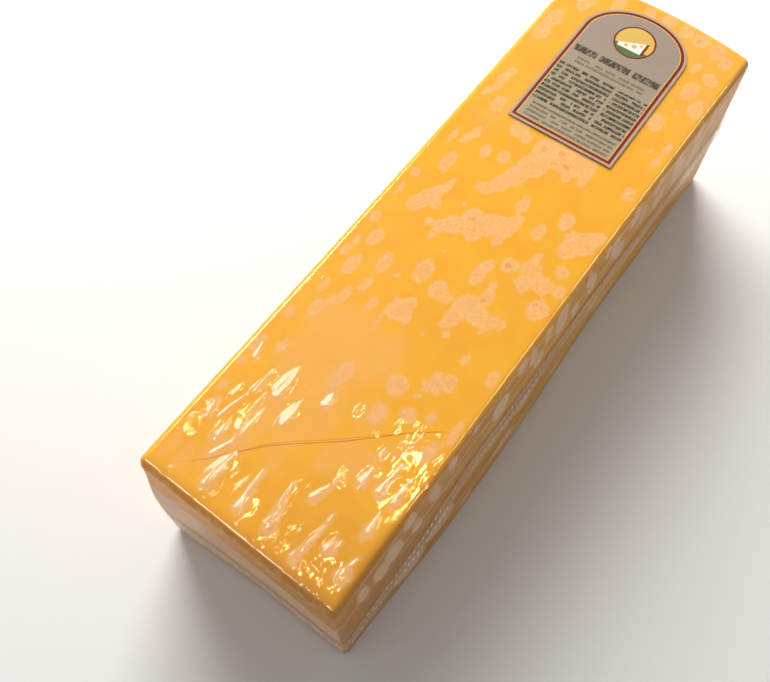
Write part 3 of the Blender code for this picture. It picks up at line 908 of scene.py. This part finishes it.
above = (v - LABEL_STRAIGHT).at_least(0.0)
away = (u * u + above * above).root()
reach = ((u / LABEL_HALF) * (u / LABEL_HALF) + (above / LABEL_ARCH) * (above / LABEL_ARCH)).root()
inset = (away / reach.at_least(0.001) - away).at_most(v)
colour = finish.blend(finish.step(v, 20.0, 62.0), CREAM, TAUPE)
columns = bar(-21.0, 5.5, 13.0, 38.5) + bar(7.0, 21.0, 13.0, 36.5)
print_here = dashes(13.5, 38.0, 2.45, 1.55, 0.42, 2.3) * columns
colour = finish.blend(0.95 * print_here, colour, INK)
small = 0.65 * dashes(3.6, 12.8, 2.3, 1.15, 0.5, 2.6) * bar(-19.0, 20.0, 3.0, 13.0)
colour = finish.blend(small, colour, INK)
small = 0.55 * dashes(39.6, 44.0, 2.3, 1.2, 0.5, 2.4) * bar(-16.0, 16.0, 39.0, 44.0)
colour = finish.blend(small, colour, INK)
words = bar(-20.0, -9.5, 45.0, 50.0) + bar(-7.8, 6.3, 45.0, 50.0) + bar(8.0, 20.0, 45.0, 50.0)
title = dashes(45.6, 50.0, 4.4, 3.6, 0.20, 0.95) * words
colour = finish.blend(0.85 * title, colour, INK)
colour = finish.blend(disc(0.0, 63.5, 9.2), colour, MAROON)
emblem = finish.blend(v < 60.0, YELLOW, GREEN)
wedge = (u > -6.0) * (u < 6.0) * (v > 58.5) * (v < 63.2 + 0.45 * u)
emblem = finish.blend(wedge, emblem, WHITE)
emblem = finish.blend(wedge * (u > 4.9), emblem, MAROON)
holes = disc(-2.6, 60.4, 0.8).at_least(disc(0.8, 61.4, 1.1)).at_least(disc(3.2, 63.2, 0.7))
emblem = finish.blend(holes * wedge, emblem, YELLOW)
colour = finish.blend(disc(0.0, 63.5, 8.4), colour, emblem)
colour = finish.blend(inset < 2.9, colour, YELLOW)
colour = finish.blend(inset < 2.45, colour, MAROON)
colour = finish.blend(inset < 1.15, colour, MARGIN)
colour = finish.blend(0.10 * finish.grain(2600.0, 3.0), colour, INK)
surface = finish.node("ShaderNodeBsdfPrincipled", {}, {
    "Base Color": colour,
    "Roughness": finish.step(finish.grain(300.0, 3.0), 0.2, 0.8, 0.34, 0.46),
    "Specular IOR Level": 0.3,
    "Normal": finish.bump(finish.grain(1400.0, 3.0), 0.00002),
})
finish.done(surface, label)
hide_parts("label")
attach(label, "root")


# The floor: a plain pale table top.
bpy.ops.mesh.primitive_plane_add(size=8.0, location=(0.0, 0.0, 0.0))
floor = bpy.context.object
floor.name = "floor"
finish = Finish("floor")
values = {"Base Color": (0.82, 0.82, 0.82, 1.0), "Roughness": 0.9}
surface = finish.node("ShaderNodeBsdfPrincipled", {}, values)
finish.done(surface, floor)
floor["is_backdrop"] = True


# The light: a soft lamp beyond the loaf's far left corner, so that the near end is a little dimmer.
# The film mirrors four more that light nothing else: a soft one for the sheen on the folds, a small
# warm one for the glints in the crinkles, and a strip each for the near and the right top edge.
def add_lamp(name, place, target, along, size, radiance, colour):
    bpy.ops.object.light_add(type="AREA", location=place)
    lamp = bpy.context.object
    lamp.name = name
    lamp.data.shape = "RECTANGLE"
    lamp.data.size, lamp.data.size_y = size
    lamp.data.energy = math.pi * radiance * size[0] * size[1]
    lamp.data.color = colour
    back = (Vector(place) - Vector(target)).normalized()
    across = (Vector(along) - back * back.dot(Vector(along))).normalized()
    lamp.rotation_euler = Matrix((across, back.cross(across), back)).transposed().to_euler()
    return lamp


KEY_PLACE, KEY_TARGET = (-0.75, 0.72, 0.82), (0.0, 0.0, 0.08)
LEVEL, SLANTED = (1.0, 0.0, 0.0), (1.0, 1.0, 0.0)
# Name, place, target, long direction, size in metres, radiance and colour of each mirrored lamp
MIRRORED = (
    (
        "sheen", (-0.95, 0.38, 1.05), (0.0, -0.10, 0.08), SLANTED, (0.65, 0.65), 11.5, (1.0, 0.95, 0.86),
    ),
    (
        "glint", (-0.080, 0.254, 1.45), (0.0, -0.12, 0.08), LEVEL, (0.11, 0.11), 75.0, (1.0, 0.86, 0.30),
    ),
    (
        "near strip", (-0.34, -0.74, 1.08), (0.0, -0.146, 0.08), LEVEL, (0.5, 0.2), 30.0,
        (1.0, 0.92, 0.72),
    ),
    (
        "right strip", (0.61, 0.57, 1.00), (0.044, 0.0, 0.08), (-0.15, 0.74, -0.245), (0.9, 0.14), 17.0,
        (1.0, 0.90, 0.66),
    ),
)

key = add_lamp("key", KEY_PLACE, KEY_TARGET, SLANTED, (0.95, 0.95), 9.9, (1.0, 0.98, 0.95))
key.visible_glossy = False
for name, place, target, along, size, radiance, colour in MIRRORED:
    lamp = add_lamp(name, place, target, along, size, radiance, colour)
    lamp.visible_diffuse = False

world = bpy.data.worlds.new("studio")
bpy.context.scene.world = world
world.use_nodes = True
world.node_tree.nodes["Background"].inputs["Color"].default_value = (1.0, 0.985, 0.96, 1.0)
world.node_tree.nodes["Background"].inputs["Strength"].default_value = 0.33

size = {"cad": [list(corner) for corner in cad_box], "visual": [list(corner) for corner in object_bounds()]}
